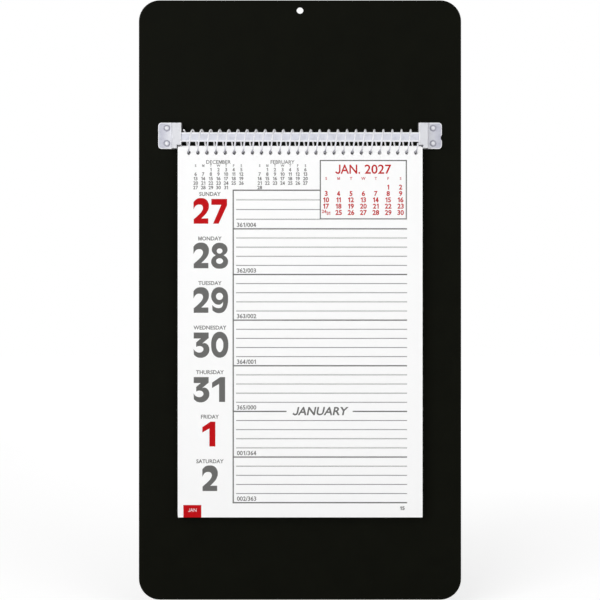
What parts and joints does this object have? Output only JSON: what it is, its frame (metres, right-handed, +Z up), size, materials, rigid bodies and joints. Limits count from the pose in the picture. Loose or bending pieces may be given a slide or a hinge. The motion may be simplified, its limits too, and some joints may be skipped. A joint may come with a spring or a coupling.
{
  "type": "weekly memo calendar",
  "caption": "Wall calendar: black backing board with a hanging hole, a plastic hanger bar in riveted brackets, and a coil-bound pad of weekly memo sheets that swings on the bar.",
  "frame": {"origin": "centre of the hanging hole on the board's back face, which is the wall's plane", "axes": "+Z up along the board, +X to the right as the sheets are read, +Y out of the board's back into the wall"},
  "size_m": [0.215, 0.0184, 0.4],
  "materials": {
    "black_board": "smooth matte black pressed board",
    "hanger_plastic": "milky translucent white moulding",
    "rivet_plastic": "milky white plastic",
    "coil_plastic": "clear-white plastic filament",
    "white_paper": "smooth white writing paper, the front sheet printed in grey and red"
  },
  "bodies": {
    "root": {"backing_board": "black_board", "left_bracket": "hanger_plastic", "right_bracket": "hanger_plastic", "bracket_rivets": "rivet_plastic"},
    "bar": {"hanger_bar": "hanger_plastic"},
    "pad": {"binding_coil": "coil_plastic", "week_sheet_02": "white_paper", "week_sheet_03": "white_paper", "week_sheet_04": "white_paper", "week_sheet_05": "white_paper", "week_sheet_06": "white_paper", "week_sheet_07": "white_paper", "week_sheet_08": "white_paper", "week_sheet_09": "white_paper", "week_sheet_10": "white_paper", "week_sheet_11": "white_paper", "week_sheet_12": "white_paper", "week_sheet_13": "white_paper", "week_sheet_14": "white_paper", "week_sheet_15": "white_paper", "week_sheet_16": "white_paper", "week_sheet_17": "white_paper", "week_sheet_18": "white_paper", "week_sheet_19": "white_paper", "week_sheet_20": "white_paper", "week_sheet_21": "white_paper", "week_sheet_22": "white_paper", "week_sheet_23": "white_paper", "week_sheet_24": "white_paper", "week_sheet_25": "white_paper", "week_sheet_26": "white_paper", "week_sheet_27": "white_paper", "week_sheet_28": "white_paper", "week_sheet_29": "white_paper", "week_sheet_30": "white_paper", "week_sheet_31": "white_paper", "week_sheet_32": "white_paper", "week_sheet_33": "white_paper", "week_sheet_34": "white_paper", "week_sheet_35": "white_paper", "week_sheet_36": "white_paper", "week_sheet_37": "white_paper", "week_sheet_38": "white_paper", "week_sheet_39": "white_paper", "week_sheet_40": "white_paper", "week_sheet_41": "white_paper", "week_sheet_42": "white_paper", "week_sheet_43": "white_paper", "week_sheet_44": "white_paper", "week_sheet_45": "white_paper", "week_sheet_46": "white_paper", "week_sheet_47": "white_paper", "week_sheet_48": "white_paper", "week_sheet_49": "white_paper", "week_sheet_50": "white_paper", "week_sheet_51": "white_paper", "week_sheet_52": "white_paper", "week_sheet_53": "white_paper"},
    "front_sheet": {"week_sheet_01": "white_paper"}
  },
  "joints": [
    {"name": "bar_slide", "type": "slide", "parent": "root", "child": "bar", "axis": [1, 0, 0], "range_m": [0, 0.165]},
    {"name": "pad_swing", "type": "hinge", "parent": "root", "child": "pad", "pos_m": [0, -0.0085, -0.0828], "axis": [-1, 0, 0], "range_deg": [-0.8, 20]},
    {"name": "front_sheet_turn", "type": "hinge", "parent": "pad", "child": "front_sheet", "pos_m": [0, -0.0104, -0.08834], "axis": [-1, 0, 0], "range_deg": [0, 155]}
  ]
}
